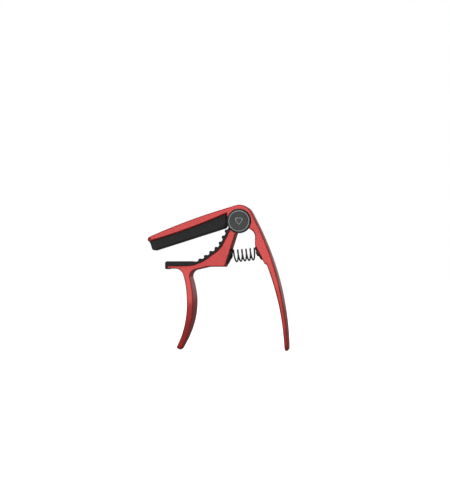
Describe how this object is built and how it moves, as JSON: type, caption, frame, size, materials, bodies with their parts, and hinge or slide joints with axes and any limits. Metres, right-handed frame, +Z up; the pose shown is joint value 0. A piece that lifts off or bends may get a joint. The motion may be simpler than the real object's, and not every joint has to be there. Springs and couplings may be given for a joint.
{
  "type": "guitar capo",
  "caption": "Trigger capo: padded arm and ribbed jaw on one sprung pivot, opened by squeezing a lever against a curved trigger.",
  "frame": {"origin": "middle of the neck seat, the flat top of the jaw pad", "axes": "+Z up out of the neck seat, +X from the jaws' open end towards the lever, Y along the pivot's axis, away from the capped front"},
  "size_m": [0.0891, 0.015, 0.0905],
  "materials": {
    "red_casting": "red metallic gloss over zinc alloy",
    "silicone": "matt moulded silicone",
    "pin_steel": "ground",
    "bushing_bronze": "sintered",
    "washer_nylon": "natural nylon",
    "spring_steel": "oiled dark spring steel",
    "black_cap": "satin moulded",
    "ring_metal": "turned",
    "badge": "dark gloss with a plain plectrum outline",
    "seat_nylon": "moulded nylon"
  },
  "bodies": {
    "trigger_body": {"trigger_jaw": "red_casting", "jaw_pad": "silicone", "pivot_bushing": "bushing_bronze", "spring_seat_jaw": "seat_nylon", "main_spring": "spring_steel"},
    "arm_body": {"clamp_arm": "red_casting", "string_pad": "silicone", "pivot_pin": "pin_steel", "thrust_washer_front": "washer_nylon", "thrust_washer_rear": "washer_nylon", "retaining_ring": "spring_steel", "hub_cap_front": "black_cap", "cap_ring_front": "ring_metal", "cap_badge_front": "badge", "hub_cap_rear": "black_cap", "spring_seat_lever": "seat_nylon"}
  },
  "joints": [
    {"name": "squeeze", "type": "hinge", "parent": "trigger_body", "child": "arm_body", "pos_m": [0.037, 0, 0.0248], "axis": [0, 1, 0], "range_deg": [0, 18], "stiffness_Nm_per_rad": 2, "springref_deg": -17.19, "deforming": ["main_spring"]}
  ]
}
